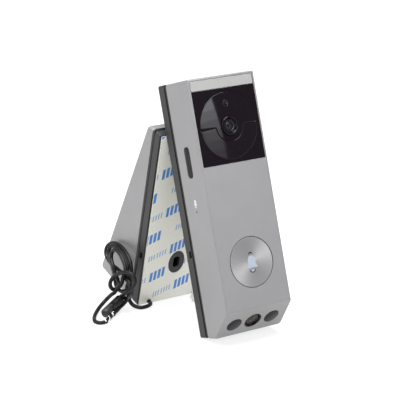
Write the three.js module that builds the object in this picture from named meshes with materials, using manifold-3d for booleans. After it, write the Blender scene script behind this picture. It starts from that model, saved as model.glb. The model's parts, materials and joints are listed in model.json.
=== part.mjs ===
// Battery video doorbell leaning back on its wedge-shaped solar charging unit.
// Millimetres, +Z up. The set stands on the ground plane z = 0 and the doorbell's front looks along -Y.
// The origin is on the ground, under the middle of the set without its charging cord.

import * as THREE from "three";
import { mergeVertices } from "three/addons/utils/BufferGeometryUtils.js";
import Module from "manifold-3d";

const wasm = await Module();
wasm.setup();

// ---------------------------------------------------------------- driving dimensions

const GAP = 0.3; // clearance between neighbouring pieces
const ARC = 5; // segments in a small rounded corner
const ROUND = 32; // segments round a lens, ring or button

const bell = { width: 52, depth: 35.6, height: 170, lean: 17.6, wall: 2, edge: 1.6, corner: 2.4 };
bell.coverFront = 8.1; // the dark back part ends here
bell.plateFront = 5.3; // the wall plate ends here
bell.plateBack = 1.5; // and stands this far out behind the casing's back plane
bell.footTop = 16.8; // height of the slanted foot's upper edge
bell.footDepth = 16.7; // depth of the foot's lower edge
bell.frontWall = 2.4;

const insert = { width: 48, bottom: 112.4, top: 168.2, split: 161.3, thick: 1.2, pocket: 1.5 };
const disc = { radius: 22, inner: 10, z: 136.6, crown: 0.9, ring: 6.2, lens: 4.3 };
const sensor = { radius: 2.2, z: 151.2 };
const button = { z: 46.5, hole: 16.9, cap: 16.45, stem: 4, travel: 0.8 };
button.guide = { inner: 12, outer: 18, thick: 1 }; // the light ring behind the cap
const foot = { down: 14, apart: 14.8, window: 5.3, camera: 6.1, lens: 4.6, glass: 1.2 };
const grille = { depth: 20.8, width: 6.6, bottom: 106.6, top: 127.4, thick: 1.2 };
const mic = { z: 84.4, hole: 0.6 };
const slot = { bottom: 54.3, top: 59, back: 2.1, front: 4.7 }; // release slot in the wall plate's rim
const port = { depth: 26, width: 8.5, bottom: 38, top: 55, flap: 1.2, pocket: 1.5, hole: 3, socket: 46 };
const hook = { width: 5, high: 4, lip: 3, apart: 14, zs: [40, 120], travel: 6 };

const wedge = { width: 57, height: 135.7, lean: 14.7, top: 5.6, under: 41.7, rise: 2.8, wall: 1.8 };
wedge.left = -5.1 - bell.width / 2; // its left side, beside the doorbell's
wedge.back = 85.9; // how far behind the doorbell's back edge its rim stands
wedge.frontWall = 3.4;
const base = { deep: 8.2, neck: 2.2, inset: 0.6, neckInset: 2.6, wall: 1.6, boss: 0.8 };
base.bossAt = [30.8, 104.9]; // heights of the two screw bosses
const pad = { inset: 1.9, bottom: 0.5, top: 134.1, foam: 0.45, oval: [13.2, 18] };
pad.liner = 0.15; // thickness of the paper over the foam
pad.linerGap = 0.1;
const solar = { width: 50, length: 118, glass: 1.2, cells: 0.5, middle: 66 };
const cable = { diameter: 2.8, fromLeft: 10, exitHeight: 1.5, grommet: 2.3, sides: 8, step: 6 };
cable.notch = cable.diameter / 2 + 0.45;
cable.exitDepth = 6.9; // the grommet's face, in front of the shell's rim

// The cord's free stretch from the grommet to its tied bundle.
// Its points, and the bundle's, are counted from the middle of the doorbell's lower back edge.
const leadRoute = [
  [-21.1, 78.6, 1.5],
  [-21.1, 75.4, 1.45],
  [-22.3, 72.1, 1.45],
  [-25.2, 69.8, 1.45],
  [-28.8, 68.8, 1.45],
  [-32.2, 69.5, 1.45],
  [-34.9, 72.3, 2.2],
  [-36.8, 75.6, 4.7],
];
// The bundle's two flat loops, each from the middle of its near end to its far tip, and its knot.
const upperLoop = { from: [-41.9, 72, 29.6], to: [-38.2, 109.4, 36.6], half: 9.4, thick: 8 };
const lowerLoop = { from: [-50, 77.5, 6.6], to: [-71.6, 57.4, 3.7], half: 7.8, thick: 5.6 };
const knot = { from: [-44.6, 79, 7], to: [-43, 72.5, 25], radius: 6.6 };
const plug = { from: [-40.4, 78.2, 9.2], to: [-62.3, 67.4, 3.5], radius: 2.6, relief: 4.4, body: 13.4 };
plug.tip = 1.75;
plug.capRadius = 2.8;

const rad = THREE.MathUtils.degToRad;

// ---------------------------------------------------------------- finishes

const finishes = {
  silver: [0xa9a9ab, 0.42, 0.35],
  trim: [0xcbc8c2, 0.4, 0.3],
  dark: [0x4b4b4d, 0.6, 0],
  black: [0x1c191d, 0.08, 0],
  smoked: [0x242226, 0.12, 0],
  glass: [0x15151a, 0.03, 0],
  spun: [0xb4b4b8, 0.3, 0.9],
  rubber: [0x2a2a2b, 0.8, 0],
  board: [0x1f5a3a, 0.5, 0],
  steel: [0x9a9a9e, 0.35, 0.9],
  cell: [0x10162e, 0.2, 0.2],
  wrap: [0x3a5f9a, 0.5, 0],
  foam: [0xd6d6cc, 0.9, 0],
  paper: [0xccccc4, 0.7, 0],
};

function piece(name, shape, finish) {
  const [color, roughness, metalness] = finishes[finish];
  const geometry = shape instanceof THREE.BufferGeometry ? shape : toGeometry(shape);
  const mesh = new THREE.Mesh(geometry, new THREE.MeshStandardMaterial({ color, roughness, metalness }));
  mesh.name = name;
  return mesh;
}

// ---------------------------------------------------------------- solids

function solid(geometry) {
  const bare = geometry.clone();
  bare.deleteAttribute("normal");
  bare.deleteAttribute("uv");
  const merged = mergeVertices(bare, 1e-4);
  const vertProperties = new Float32Array(merged.attributes.position.array);
  const triVerts = new Uint32Array(merged.index.array);
  const made = new wasm.Manifold(new wasm.Mesh({ numProp: 3, vertProperties, triVerts }));
  return made.volume() > 0 ? made : solid(flipped(merged));
}

function flipped(geometry) {
  const corners = geometry.index.array;
  for (let i = 0; i < corners.length; i += 3) [corners[i], corners[i + 1]] = [corners[i + 1], corners[i]];
  return geometry;
}

function toGeometry(manifold) {
  const mesh = manifold.getMesh();
  const geometry = new THREE.BufferGeometry();
  geometry.setAttribute("position", new THREE.BufferAttribute(mesh.vertProperties, 3));
  geometry.setIndex(new THREE.BufferAttribute(mesh.triVerts, 1));
  geometry.computeVertexNormals();
  return geometry;
}

const join = (first, ...rest) => rest.reduce((sum, next) => sum.add(next), first);
const cut = (first, ...rest) => rest.reduce((left, next) => left.subtract(next), first);

// A closed outline through corners [a, b, radius], each rounded by its radius.
function outline(corners) {
  const shape = new THREE.Shape();
  corners.forEach(([a, b, radius = 0], i) => {
    const corner = new THREE.Vector2(a, b);
    const towards = ([c, d]) => new THREE.Vector2(c, d).sub(corner).setLength(radius).add(corner);
    const before = towards(corners.at(i - 1));
    const after = towards(corners[(i + 1) % corners.length]);
    if (i === 0) shape.moveTo(before.x, before.y);
    else shape.lineTo(before.x, before.y);
    if (radius > 0) shape.quadraticCurveTo(a, b, after.x, after.y);
  });
  shape.closePath();
  return shape;
}

const frame = (a0, a1, b0, b1, r = 0) => outline([[a0, b0, r], [a1, b0, r], [a1, b1, r], [a0, b1, r]]);

function extrude(shape, depth, segments = ARC) {
  return new THREE.ExtrudeGeometry(shape, { depth, bevelEnabled: false, curveSegments: segments });
}

// Outline in (x, z), solid from y = back (towards +Y) to y = front.
function alongY(shape, front, back, segments) {
  return solid(extrude(shape, back - front, segments).rotateX(Math.PI / 2).translate(0, back, 0));
}

// Outline in (y, z), solid from x0 to x1.
function alongX(shape, x0, x1, segments) {
  const turn = new THREE.Matrix4().makeBasis(
    new THREE.Vector3(0, 1, 0),
    new THREE.Vector3(0, 0, 1),
    new THREE.Vector3(1, 0, 0),
  );
  return solid(extrude(shape, x1 - x0, segments).applyMatrix4(turn).translate(x0, 0, 0));
}

// Outline in (x, y), solid from z0 to z1.
function alongZ(shape, z0, z1, segments) {
  return solid(extrude(shape, z1 - z0, segments).translate(0, 0, z0));
}

function box(x0, x1, y0, y1, z0, z1) {
  const geometry = new THREE.BoxGeometry(x1 - x0, y1 - y0, z1 - z0);
  return solid(geometry.translate((x0 + x1) / 2, (y0 + y1) / 2, (z0 + z1) / 2));
}

// Round rod along Y from front to back.
function rod(radius, front, back, x = 0, z = 0, segments = ROUND) {
  const geometry = new THREE.CylinderGeometry(radius, radius, back - front, segments);
  return solid(geometry.translate(x, (front + back) / 2, z));
}

// Round rod along X from x0 to x1.
function alongSide(radius, x0, x1, y, z) {
  const geometry = new THREE.CylinderGeometry(radius, radius, x1 - x0, ROUND / 2).rotateZ(-Math.PI / 2);
  return solid(geometry.translate((x0 + x1) / 2, y, z));
}

// Turned solid about the Y axis through (x, z): profile points are [radius, y].
function turned(profile, x = 0, z = 0, segments = ROUND) {
  const points = profile.map(([r, y]) => new THREE.Vector2(r, y));
  return solid(new THREE.LatheGeometry(points, segments).translate(x, 0, z));
}

const placed = (shape, matrix) => shape.transform(Array.from(matrix.elements));

// ---------------------------------------------------------------- doorbell: casing

const half = bell.width / 2;
const slant = Math.hypot(bell.depth - bell.footDepth, bell.footTop);
const slantTurn = Math.atan2(bell.depth - bell.footDepth, bell.footTop);

// The outer form between two depths, set in by `inset` all round.
function casing(front, back, inset = 0, edge = bell.edge) {
  const footFront = -bell.footDepth;
  const side = outline([
    [back, inset],
    [footFront, inset, 1],
    [-bell.depth, bell.footTop, 1],
    [-bell.depth, bell.height - inset, edge],
    [back, bell.height - inset],
  ]);
  const corner = bell.corner;
  const face = frame(-half + inset, half - inset, inset, bell.height - inset, corner);
  const plan = outline([
    [half - inset, back],
    [half - inset, -bell.depth, edge],
    [-half + inset, -bell.depth, edge],
    [-half + inset, back],
  ]);
  const whole = alongX(side, -half + inset, half - inset)
    .intersect(alongY(face, -bell.depth, back))
    .intersect(alongZ(plan, inset, bell.height - inset));
  return whole.intersect(box(-half, half, front, back, 0, bell.height));
}

// Moves a piece made round the Y axis onto the slanted foot, `x` from the middle.
function onFoot(shape, x) {
  const share = foot.down / slant;
  const y = -bell.depth + (bell.depth - bell.footDepth) * share;
  const z = bell.footTop * (1 - share);
  const turn = new THREE.Matrix4().makeRotationX(slantTurn);
  return placed(shape, turn.setPosition(x, y, z));
}

function frontHousing() {
  const back = -bell.coverFront - GAP;
  const inner = bell.wall * Math.tan(slantTurn / 2);
  const footInner = bell.footDepth - inner;
  const faceInner = bell.depth - bell.frontWall;
  const slope = bell.footTop / (bell.depth - bell.footDepth);
  const hollow = outline([
    [back + 1, bell.wall],
    [-footInner, bell.wall],
    [-faceInner, bell.wall + (faceInner - footInner) * slope],
    [-faceInner, bell.height - bell.wall],
    [back + 1, bell.height - bell.wall],
  ]);
  const pocketFront = -bell.depth - 3;
  const pocketBack = -bell.depth + insert.pocket;
  const w = insert.width / 2 + GAP;
  const pocket = alongY(frame(-w, w, insert.bottom - GAP, insert.top + GAP, 0.8), pocketFront, pocketBack);
  const opening = frame(-w + 3, w - 3, insert.bottom + 2, insert.split - 3, 2);
  const windowOpening = alongY(opening, -bell.depth, -28);
  const speakerMiddle = -grille.depth;
  const speakerHole = alongX(
    frame(speakerMiddle - grille.width / 2, speakerMiddle + grille.width / 2, grille.bottom, grille.top, 3),
    -half - 1, -half + bell.wall + 1,
  );
  const micHole = alongSide(mic.hole, -half - 1, -half + 3, speakerMiddle, mic.z);
  const portMiddle = -port.depth;
  const flapPocket = alongX(
    frame(portMiddle - port.width / 2, portMiddle + port.width / 2, port.bottom, port.top, 1.2),
    half - port.pocket, half + 1,
  );
  const portHole = alongSide(port.hole, half - 5, half + 1, portMiddle, port.socket);
  const windows = [-foot.apart, foot.apart].flatMap((x) => [
    onFoot(rod(foot.window + GAP, -2, foot.glass + GAP), x),
    onFoot(rod(foot.window - 1.2, -2, 4, 0, 0, 24), x),
  ]);
  const posts = screwPlaces().map(([x, z]) => {
    const post = rod(3, -faceInner - 0.5, back, x, z, 20);
    return cut(post, rod(1.3, back - 9, back + 1, x, z, 12));
  });
  const shell = cut(casing(-bell.depth, back), alongX(hollow, -half + bell.wall, half - bell.wall));
  return cut(
    join(shell, ...posts),
    pocket,
    windowOpening,
    rod(button.hole, -bell.depth - 1, -faceInner + 1, 0, button.z),
    speakerHole,
    micHole,
    flapPocket,
    portHole,
    ...windows,
    onFoot(rod(foot.camera + GAP, -2, 5), 0),
  );
}

const screwPlaces = () => [[-20.5, 21], [20.5, 21], [-20.5, 161], [20.5, 161]];

function backCover() {
  const flange = casing(-bell.coverFront, -bell.plateFront - GAP, base.inset);
  const nest = alongY(
    frame(-half + 2.2, half - 2.2, 2.2 + hook.travel, bell.height - 2.2, 1.5),
    -bell.plateFront - 1, -2,
  );
  const well = frame(-half + 3.8, half - 3.8, 9.8, bell.height - 3.8, 1);
  const hollow = alongY(well, -bell.coverFront - 1, -3.6);
  const sealGroove = cut(
    alongY(frame(-half + 1.3, half - 1.3, 1.6, bell.height - 1.3, 1.2), -bell.coverFront - 1, -7.2),
    alongY(frame(-half + 2.9, half - 2.9, 3.2, bell.height - 2.9, 1), -bell.coverFront - 1, -7.2),
  );
  const screwHoles = screwPlaces().flatMap(([x, z]) => [
    rod(1.4, -bell.coverFront - 1, -1, x, z, 16),
    rod(2.8, -3, -1, x, z, 24),
  ]);
  const hookSlots = hookPlaces().map(([x, z]) => {
    const w = hook.width / 2 + 0.4;
    return box(x - w, x + w, -5, -1, z - 0.4, z + hook.high + hook.travel + 0.4);
  });
  const latchHole = box(-half, -half + 5, -5.5, -3.8, slot.bottom + 0.2, slot.top - 0.2);
  return cut(join(flange, nest), hollow, sealGroove, ...screwHoles, ...hookSlots, latchHole);
}

function housingSeal() {
  const front = -bell.coverFront - 0.1;
  const outer = alongY(frame(-half + 1.7, half - 1.7, 2, bell.height - 1.7, 1.2), front, -7.5);
  const inner = alongY(frame(-half + 2.5, half - 2.5, 2.8, bell.height - 2.5, 1), front - 1, -6);
  return outer.subtract(inner);
}

const hookPlaces = () => [-hook.apart, hook.apart].flatMap((x) => hook.zs.map((z) => [x, z]));

// The tray that stays on the wall, with its hooks and oblong screw holes.
function wallPlate() {
  const bottom = bell.plateBack * Math.tan(rad(bell.lean)) + 0.01; // its lowest edge meets the ground
  const floor = bell.plateBack - 1.6;
  const outer = frame(-half, half, bottom, bell.height, 1.4);
  const inner = frame(-half + 1.6, half - 1.6, 1.6, bell.height - 1.6, 1.2);
  const tray = cut(alongY(outer, -bell.plateFront, bell.plateBack), alongY(inner, -bell.plateFront - 1, floor));
  const hooks = hookPlaces().map(([x, z]) => join(
    box(x - hook.width / 2, x + hook.width / 2, -5.2, floor + 0.1, z, z + hook.high),
    box(x - hook.width / 2, x + hook.width / 2, -5.2, -3.9, z - hook.lip, z + hook.high),
  ));
  const holes = [24, 148].map((z) => {
    return alongY(frame(-2.2, 2.2, z - 4, z + 4, 2), floor - 1, bell.plateBack + 1);
  });
  const pinSlot = box(-half - 1, -half + 3, -slot.front, -slot.back, slot.bottom, slot.top);
  return cut(join(tray, ...hooks), ...holes, pinSlot);
}

function releaseLatch() {
  const x = -half + 2.4;
  return join(
    box(x, x + 7, -5.3, -4, slot.bottom + 0.6, slot.top - 0.6),
    box(x + 5.5, x + 7, -7.6, -4, slot.bottom + 0.6, slot.top - 0.6),
  );
}

function housingScrew(x, z) {
  return turned([[0, -2.15], [2.3, -2.3], [2.4, -2.7], [1, -2.75], [1, -15], [0, -15.6]], x, z, 20);
}

// ---------------------------------------------------------------- doorbell: front insert

function trimBand() {
  const w = insert.width / 2;
  return alongY(frame(-w, w, insert.split + GAP, insert.top, 0.6), -bell.depth, -bell.depth + insert.thick);
}

function frontPanel() {
  const w = insert.width / 2;
  const face = frame(-w, w, insert.bottom, insert.split, 0.4);
  const plate = alongY(face, -bell.depth, -bell.depth + insert.thick);
  return plate.subtract(rod(disc.radius + GAP, -bell.depth - 1, -bell.depth + 3, 0, disc.z, 48));
}

// Shallow dome that both windows of the round field are cut from.
function crownedDisc() {
  const front = -bell.depth;
  const back = front + insert.thick;
  const rings = 6;
  const profile = [[0, back], [disc.radius, back]];
  for (let i = 0; i <= rings; i += 1) {
    const r = disc.radius * (1 - i / rings);
    profile.push([r, front - disc.crown * (1 - (r / disc.radius) ** 2)]);
  }
  return turned(profile, 0, disc.z, 48);
}

// The half ring below the camera.
function halfRing(outer, inner, top) {
  const ring = cut(rod(outer, -40, -20, 0, disc.z, 48), rod(inner, -41, -19, 0, disc.z, 48));
  return ring.intersect(box(-30, 30, -45, -15, disc.z - 30, top));
}

function motionLens() {
  return crownedDisc().intersect(halfRing(disc.radius + 1, disc.inner + GAP, disc.z - GAP));
}

function cameraWindow() {
  const kept = crownedDisc().subtract(halfRing(disc.radius + 1, disc.inner, disc.z));
  return cut(
    kept,
    rod(disc.ring + GAP, -40, -30, 0, disc.z),
    rod(sensor.radius + GAP, -40, -30, 0, sensor.z, 24),
  );
}

function lensRing() {
  const y = -bell.depth;
  return turned([
    [disc.lens + GAP, y + 1.2], [disc.ring, y + 1.2], [disc.ring, y - 1.9], [disc.ring - 0.5, y - 2.4],
    [disc.lens + 1, y - 2.2], [disc.lens + GAP, y - 1.4], [disc.lens + GAP, y + 1.2],
  ], 0, disc.z);
}

function mainLens() {
  const y = -bell.depth;
  const r = disc.lens;
  return turned([
    [0, y + 1], [r, y + 1], [r, y - 1], [r * 0.7, y - 1.7], [r * 0.35, y - 2.05], [0, y - 2.15],
  ], 0, disc.z);
}

function lightSensorLens() {
  const y = -bell.depth;
  const r = sensor.radius;
  return turned([[0, y + 1], [r, y + 1], [r, y - 0.7], [r - 0.4, y - 0.9], [0, y - 0.8]], 0, sensor.z, 24);
}

// ---------------------------------------------------------------- doorbell: button

function ringLightGuide() {
  const { inner, outer, thick } = button.guide;
  const front = -bell.depth + 2 + button.travel + GAP;
  return turned([
    [inner, front], [outer, front], [outer, front + thick], [inner, front + thick], [inner, front],
  ], 0, button.z, 48);
}

function callButton() {
  const y = -bell.depth;
  const r = button.cap;
  return turned([
    [0, y + 6], [button.stem, y + 6], [button.stem, y + 2], [r, y + 2], [r, y + 0.3], [r - 0.3, y],
    [r * 0.6, y + 0.15], [r * 0.3, y + 0.25], [0, y + 0.28],
  ], 0, button.z, 48);
}

// ---------------------------------------------------------------- doorbell: slanted foot

function footWindow(x) {
  const r = foot.window;
  return onFoot(turned([[0, foot.glass], [r, foot.glass], [r, 0.15], [r - 0.15, 0], [0, 0]], 0, 0, 32), x);
}

function footCameraRing() {
  const r = foot.camera;
  const inner = foot.lens + GAP;
  return onFoot(turned([
    [inner, 4], [r, 4], [r, 0.1], [r - 0.2, -0.1], [inner + 0.4, 0.1], [inner, 0.6], [inner, 4],
  ]), 0);
}

function footCameraLens() {
  const r = foot.lens;
  return onFoot(turned([[0, 3], [r, 3], [r, 1.2], [r * 0.7, 0.7], [r * 0.35, 0.4], [0, 0.3]], 0, 0, 32), 0);
}

// ---------------------------------------------------------------- doorbell: sides

function speakerGrille() {
  const w = grille.width / 2 - GAP;
  const x0 = -half + 0.5;
  const plate = alongX(
    frame(-grille.depth - w, -grille.depth + w, grille.bottom + GAP, grille.top - GAP, 2.7),
    x0, x0 + grille.thick,
  );
  const slots = [];
  for (let z = grille.bottom + 3; z < grille.top - 2; z += 2.4) {
    slots.push(box(x0 - 1, x0 + 3, -grille.depth - w + 1, -grille.depth + w - 1, z, z + 1.1));
  }
  return cut(plate, ...slots);
}

// Rubber flap over the charging port; it turns about its upper outer edge.
function portCover() {
  const w = port.width / 2 - GAP;
  const flap = alongX(
    frame(-port.depth - w, -port.depth + w, port.bottom + GAP, port.top - GAP, 1),
    half - port.flap, half,
  );
  const grip = 1.6; // half the width of its finger lip
  const low = port.bottom + 0.8;
  const lip = box(half - 0.1, half + 0.9, -port.depth - grip, -port.depth + grip, low, low + 1.2);
  return join(flap, lip);
}

// ---------------------------------------------------------------- doorbell: inside

function insideNodes() {
  const board = -24.6;
  const cameraBack = board - GAP;
  const mainCamera = rod(7.5, -33.6, cameraBack, 0, disc.z + 1, 32);
  const motionSensor = rod(4.4, -33.4, cameraBack, 0, disc.z - 15.2, 24);
  const footCamera = onFoot(rod(4.4, 4.5, 11.5, 0, 0, 24), 0);
  const footLed = (x) => onFoot(rod(2.2, 2, 6, 0, 0, 16), x);
  return [
    piece("main_camera", mainCamera, "dark"),
    piece("motion_sensor", motionSensor, "steel"),
    piece("foot_camera", footCamera, "dark"),
    piece("foot_led_left", footLed(-foot.apart), "glass"),
    piece("foot_led_right", footLed(foot.apart), "glass"),
    piece("button_switch", box(-3, 3, -28.4, cameraBack, button.z - 3, button.z + 3), "steel"),
    piece("main_board", box(-15, 22, board, board + 1.2, 26, 156), "board"),
    piece("charge_port", box(16, 23.6, -28, cameraBack, 41, 51), "steel"),
    piece("battery_pack", alongZ(frame(-20, 20, -22.5, -8.2, 4), 27, 104, 4), "wrap"),
    piece("speaker", alongX(frame(-28, -14, 105, 129, 3), -half + 2.4, -16.5, 4), "dark"),
    piece("microphone", box(-23.6, -20.6, -22.4, -19.2, 82.6, 86.2), "steel"),
  ];
}

function makeDoorbell() {
  const doorbell = new THREE.Group();
  doorbell.add(
    piece("front_housing", frontHousing(), "silver"),
    piece("trim_band", trimBand(), "trim"),
    piece("front_panel", frontPanel(), "black"),
    piece("camera_window", cameraWindow(), "black"),
    piece("motion_lens", motionLens(), "smoked"),
    piece("lens_ring", lensRing(), "black"),
    piece("main_lens", mainLens(), "glass"),
    piece("light_sensor_lens", lightSensorLens(), "glass"),
    piece("ring_light_guide", ringLightGuide(), "dark"),
    piece("call_button", callButton(), "spun"),
    piece("foot_camera_ring", footCameraRing(), "black"),
    piece("foot_camera_lens", footCameraLens(), "glass"),
    piece("foot_window_left", footWindow(-foot.apart), "smoked"),
    piece("foot_window_right", footWindow(foot.apart), "smoked"),
    piece("speaker_grille", speakerGrille(), "dark"),
    piece("port_cover", portCover(), "rubber"),
    piece("housing_seal", housingSeal(), "rubber"),
    piece("back_cover", backCover(), "dark"),
    piece("release_latch", releaseLatch(), "dark"),
    piece("wall_plate", wallPlate(), "dark"),
    ...screwPlaces().map(([x, z], i) => piece(`housing_screw_${i + 1}`, housingScrew(x, z), "steel")),
    ...insideNodes(),
  );
  doorbell.rotation.x = -rad(bell.lean);
  return doorbell;
}

// ---------------------------------------------------------------- charging unit
// Its own frame: x across, y away from the doorbell (0 at the shell's rim), z up along its back.

const wing = wedge.width / 2;
const faceLean = Math.atan2(wedge.under - wedge.top, wedge.height - wedge.rise);

function wedgeShell() {
  const side = outline([
    [0, 0], [wedge.under, wedge.rise, 3], [wedge.top, wedge.height, 1.6], [0, wedge.height],
  ]);
  const face = frame(-wing, wing, 0, wedge.height, 3);
  const reach = wedge.under + 1;
  const outer = alongX(side, -wing, wing).intersect(alongY(face, 0, reach));
  const slope = (wedge.under - wedge.top) / (wedge.height - wedge.rise);
  const innerTop = wedge.height - wedge.wall;
  const innerFoot = wedge.rise + wedge.wall;
  const inFrom = wedge.under - wedge.frontWall / Math.cos(faceLean);
  const hollow = outline([
    [-1, wedge.wall],
    [inFrom - (innerFoot - wedge.rise) * slope, innerFoot],
    [inFrom - (innerTop - wedge.rise) * slope, innerTop],
    [-1, innerTop],
  ]);
  const posts = shellScrewPlaces().map(([x, z]) => {
    const length = inFrom - (z - wedge.rise) * slope + 1;
    return cut(rod(2.8, 2.2, length, x, z, 20), rod(1.3, 1, 9, x, z, 12));
  });
  const w = solar.width / 2;
  const l = solar.length / 2;
  const pocket = onFace(box(-w - GAP, w + GAP, -1.5, 3, -l - GAP, l + GAP));
  const cellPocket = onFace(box(-w + 2, w - 2, -2.4, 3, -l + 2, l - 2));
  const leadHole = onFace(rod(1.5, -8, 0, 0, -l + 10, 12));
  const hollowed = cut(outer, alongX(hollow, -wing + wedge.wall, wing - wedge.wall));
  return cut(join(hollowed, ...posts), pocket, cellPocket, leadHole);
}

const shellScrewPlaces = () => [[-21, 14], [21, 14], [-21, 98], [21, 98]];

// Moves a piece onto the sloping sun side: its y = 0 becomes the slope and +y points out of it.
function onFace(shape) {
  const slope = (wedge.under - wedge.top) / (wedge.height - wedge.rise);
  const turn = new THREE.Matrix4().makeRotationX(faceLean);
  turn.setPosition(0, wedge.under - (solar.middle - wedge.rise) * slope, solar.middle);
  return placed(shape, turn);
}

function solarGlass() {
  const w = solar.width / 2;
  const l = solar.length / 2;
  return onFace(box(-w, w, -solar.glass, 0, -l, l));
}

function solarCells() {
  const w = solar.width / 2 - 2 - GAP;
  const l = solar.length / 2 - 2 - GAP;
  return onFace(box(-w, w, -2.1, -2.1 + solar.cells, -l, l));
}

function shellBack() {
  const inset = wedge.wall + GAP;
  const plate = alongY(frame(-wing + inset, wing - inset, inset, wedge.height - inset, 1.5), GAP, 1.8);
  const holes = shellScrewPlaces().flatMap(([x, z]) => [
    rod(1.4, -1, 4, x, z, 16),
    rod(2.7, -1, 1.2, x, z, 24),
  ]);
  const slots = baseHooks().map(([x, z]) => {
    const w = hook.width / 2 + 0.4;
    return box(x - w, x + w, -1, 4, z - hook.travel - 0.4, z + hook.high + 0.4);
  });
  return cut(plate, ...holes, ...slots);
}

function shellScrew(x, z) {
  return turned([[0, 0.4], [2.2, 0.5], [2.3, 0.9], [1, 0.95], [1, 7.5], [0, 8.2]], x, z, 20);
}

const baseHooks = () => [-hook.apart, hook.apart].flatMap((x) => [40, 84].map((z) => [x, z]));

// The bracket that is stuck or screwed to the wall: a tray with a waist where the shell begins.
function mountBase() {
  const block = (inset, bottom, front, back, r) => {
    return alongY(frame(-wing + inset, wing - inset, bottom, wedge.height - inset, r), front, back);
  };
  const body = join(
    block(base.inset, 0, -base.deep, -base.neck, 2.4),
    block(base.neckInset, base.neckInset, -base.neck - 1, -GAP, 1.6),
  );
  const deepInset = base.neckInset + base.wall;
  const hollow = block(deepInset, deepInset, -base.deep + base.wall, 1, 1);
  const bosses = base.bossAt.map((z) => {
    return oval(z, pad.oval[0] / 2 - GAP, pad.oval[1] / 2 - GAP, -base.deep - base.boss, -6);
  });
  const hooks = baseHooks().map(([x, z]) => join(
    box(x - hook.width / 2, x + hook.width / 2, -base.deep + 1, 3.4, z, z + hook.high),
    box(x - hook.width / 2, x + hook.width / 2, 2.1, 3.4, z, z + hook.high + hook.lip),
  ));
  const screwSlots = base.bossAt.map((z) => alongY(frame(-2.6, 2.6, z - 4.2, z + 4.2, 2.4), -12, -4));
  const catchSlot = box(-wing - 1, -wing + 6, -6.9, -3.6, 37, 42);
  const shell = cut(body, hollow);
  return cut(join(shell, ...bosses, ...hooks), ...screwSlots, catchSlot, cordChannel());
}

// Elliptic rod along Y, standing on the middle line at height z.
function oval(z, a, b, front, back) {
  const shape = new THREE.Shape();
  shape.absellipse(0, z, a, b, 0, 2 * Math.PI);
  return alongY(shape, front, back, 20);
}

// A rod along the cord's way into the tray's lower edge, level with the ground.
// Its ends are counted from the grommet's face, with the outside below zero.
function onExit(shape) {
  const lean = rad(wedge.lean);
  const y = -cable.exitDepth;
  const rise = cable.exitHeight - base.deep * Math.sin(lean);
  const turn = new THREE.Matrix4().makeRotationX(-lean);
  turn.setPosition(-wing + cable.fromLeft, y, (rise - y * Math.sin(lean)) / Math.cos(lean));
  return placed(shape, turn);
}

// The room for the cord and its grommet, open to the ground.
function cordChannel() {
  const slit = (radius, front, back) => join(
    rod(radius, front, back, 0, 0, 24),
    box(-radius, radius, front, back, -6, 0),
  );
  return onExit(join(slit(cable.notch, -6, 0.5), slit(cable.grommet + GAP, -GAP, 9)));
}

function padSheet(front, back) {
  const w = wing - pad.inset;
  const sheet = alongY(frame(-w, w, pad.bottom, pad.top, 1), front, back);
  const ovals = base.bossAt.map((z) => oval(z, pad.oval[0] / 2, pad.oval[1] / 2, front - 1, back + 1));
  return cut(sheet, ...ovals, cordChannel());
}

function cordGrommet() {
  const r = cable.grommet;
  const low = -cable.exitHeight + 0.1;
  const sleeve = turned([[0, 0], [1.7, 0], [r, 0.8], [r, 6], [0, 6]], 0, 0, 20);
  return onExit(cut(sleeve, box(-r - 1, r + 1, -1, 7, -r - 1, low)));
}

function makeChargingUnit() {
  const unit = new THREE.Group();
  const back = -base.deep - GAP;
  const foamFront = back - pad.foam;
  const linerBack = foamFront - pad.linerGap;
  unit.add(
    piece("wedge_shell", wedgeShell(), "silver"),
    piece("solar_glass", solarGlass(), "glass"),
    piece("solar_cells", solarCells(), "cell"),
    piece("shell_back", shellBack(), "dark"),
    piece("charge_board", box(-16, 16, 5, 6.4, 12, 34), "board"),
    piece("mount_base", mountBase(), "dark"),
    piece("foam_pad", padSheet(foamFront, back), "foam"),
    piece("release_liner", padSheet(linerBack - pad.liner, linerBack), "paper"),
    piece("cord_grommet", cordGrommet(), "rubber"),
    ...shellScrewPlaces().map(([x, z], i) => piece(`shell_screw_${i + 1}`, shellScrew(x, z), "steel")),
  );
  unit.rotation.x = rad(wedge.lean);
  unit.position.set(wedge.left + wing, wedge.back, base.deep * Math.sin(rad(wedge.lean)));
  return unit;
}

// ---------------------------------------------------------------- charging cord

function chargingCord() {
  const points = leadRoute.map((point) => new THREE.Vector3(...point));
  const extrudePath = new THREE.CatmullRomCurve3(points, false, "centripetal");
  const section = new THREE.Shape();
  section.absarc(0, 0, cable.diameter / 2, 0, 2 * Math.PI);
  const steps = Math.ceil(extrudePath.getLength() / cable.step);
  return solid(new THREE.ExtrudeGeometry(section, { extrudePath, steps, curveSegments: cable.sides / 2 }));
}

// Axes of a flat loop that runs from one point to another: x across it, y through it, z along it.
function loopAxes(from, to, across) {
  const along = new THREE.Vector3(...to).sub(new THREE.Vector3(...from)).normalize();
  const through = new THREE.Vector3().crossVectors(along, across).normalize();
  const wide = new THREE.Vector3().crossVectors(through, along);
  return new THREE.Matrix4().makeBasis(wide, through, along).setPosition(...from);
}

const distance = (from, to) => new THREE.Vector3(...from).distanceTo(new THREE.Vector3(...to));

function loopPlate({ from, to, half: side, thick }, across) {
  const shape = frame(-side, side, -side, distance(from, to), side);
  return placed(alongY(shape, -thick / 2, thick / 2, 8), loopAxes(from, to, across));
}

const level = new THREE.Vector3(1, -1, 0).normalize(); // across the lower loop, level with the ground
const upward = new THREE.Vector3(0.25, -0.22, 0.94).normalize(); // across the upper loop

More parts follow.
